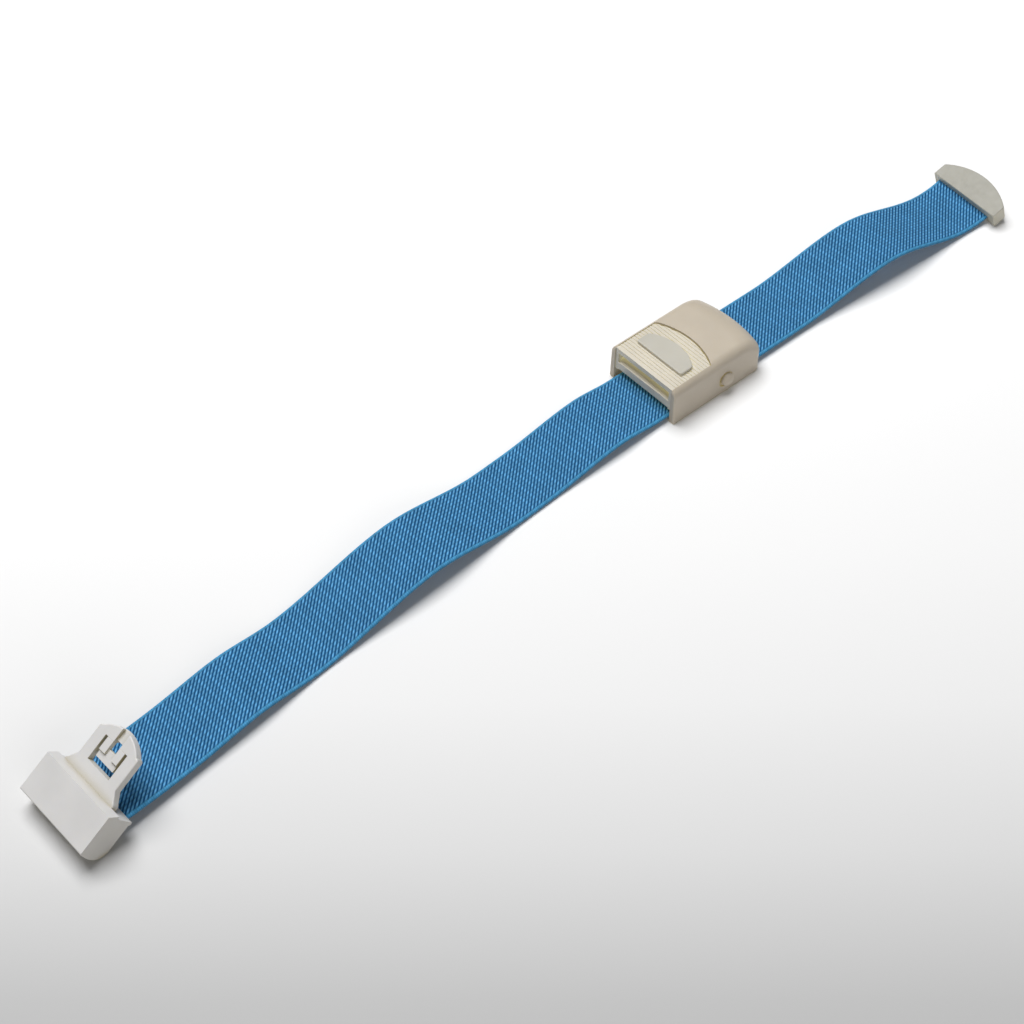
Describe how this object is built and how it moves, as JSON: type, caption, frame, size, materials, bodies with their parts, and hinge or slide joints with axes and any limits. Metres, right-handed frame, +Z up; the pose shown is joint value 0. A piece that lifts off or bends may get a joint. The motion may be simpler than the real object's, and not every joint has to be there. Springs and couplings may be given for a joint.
{
  "type": "elastic arm strap with quick-release buckle",
  "caption": "Flat elastic webbing strap with a press-release clamp buckle sliding on it, a tongue clip on one end and a D-shaped pull tab on the other.",
  "frame": {"origin": "middle of the object's bounding box, on the surface it lies on", "axes": "+X along the strap from the end clip to the end tab, +Y across it, +Z up"},
  "size_m": [0.4086, 0.0484, 0.0216],
  "materials": {
    "strap_webbing": "woven elastic webbing with diagonal ribs, blue",
    "housing_plastic": "satin moulded ivory plastic",
    "deck_plastic": "satin moulded ivory plastic, fine ribs",
    "pad_plastic": "smooth satin grey-ivory plastic",
    "clip_plastic": "satin moulded off-white plastic",
    "tab_plastic": "satin moulded grey-ivory plastic",
    "spring_steel": "bright spring wire"
  },
  "bodies": {
    "strap_side": {"strap_clip_end": "strap_webbing", "strap_middle": "strap_webbing", "strap_tail": "strap_webbing", "clip_cap": "clip_plastic", "clip_tongue": "clip_plastic", "clip_wedge": "clip_plastic", "end_tab_shell": "tab_plastic", "end_tab_cover": "tab_plastic"},
    "latch": {"latch_tab": "clip_plastic"},
    "buckle": {"buckle_housing": "housing_plastic", "base_plate": "housing_plastic", "catch_plate": "housing_plastic", "return_spring": "spring_steel"},
    "rocker": {"rocker_deck": "deck_plastic", "label_pad": "pad_plastic", "pivot_pins": "housing_plastic"}
  },
  "joints": [
    {"name": "buckle_slide", "type": "slide", "parent": "strap_side", "child": "buckle", "axis": [1, 0, 0], "range_m": [-0.005, 0.014]},
    {"name": "rocker_press", "type": "hinge", "parent": "buckle", "child": "rocker", "pos_m": [0.05993, 0.00679, 0.0055], "axis": [0, -1, 0], "range_deg": [0, 4], "stiffness_Nm_per_rad": 0.15, "springref_deg": -2.86, "deforming": ["return_spring"]},
    {"name": "latch_flex", "type": "hinge", "parent": "strap_side", "child": "latch", "pos_m": [-0.17788, -0.00812, 0.01769], "axis": [0.0393, -0.9992, 0], "range_deg": [0, 6], "stiffness_Nm_per_rad": 0.02, "springref_deg": -1.15}
  ]
}
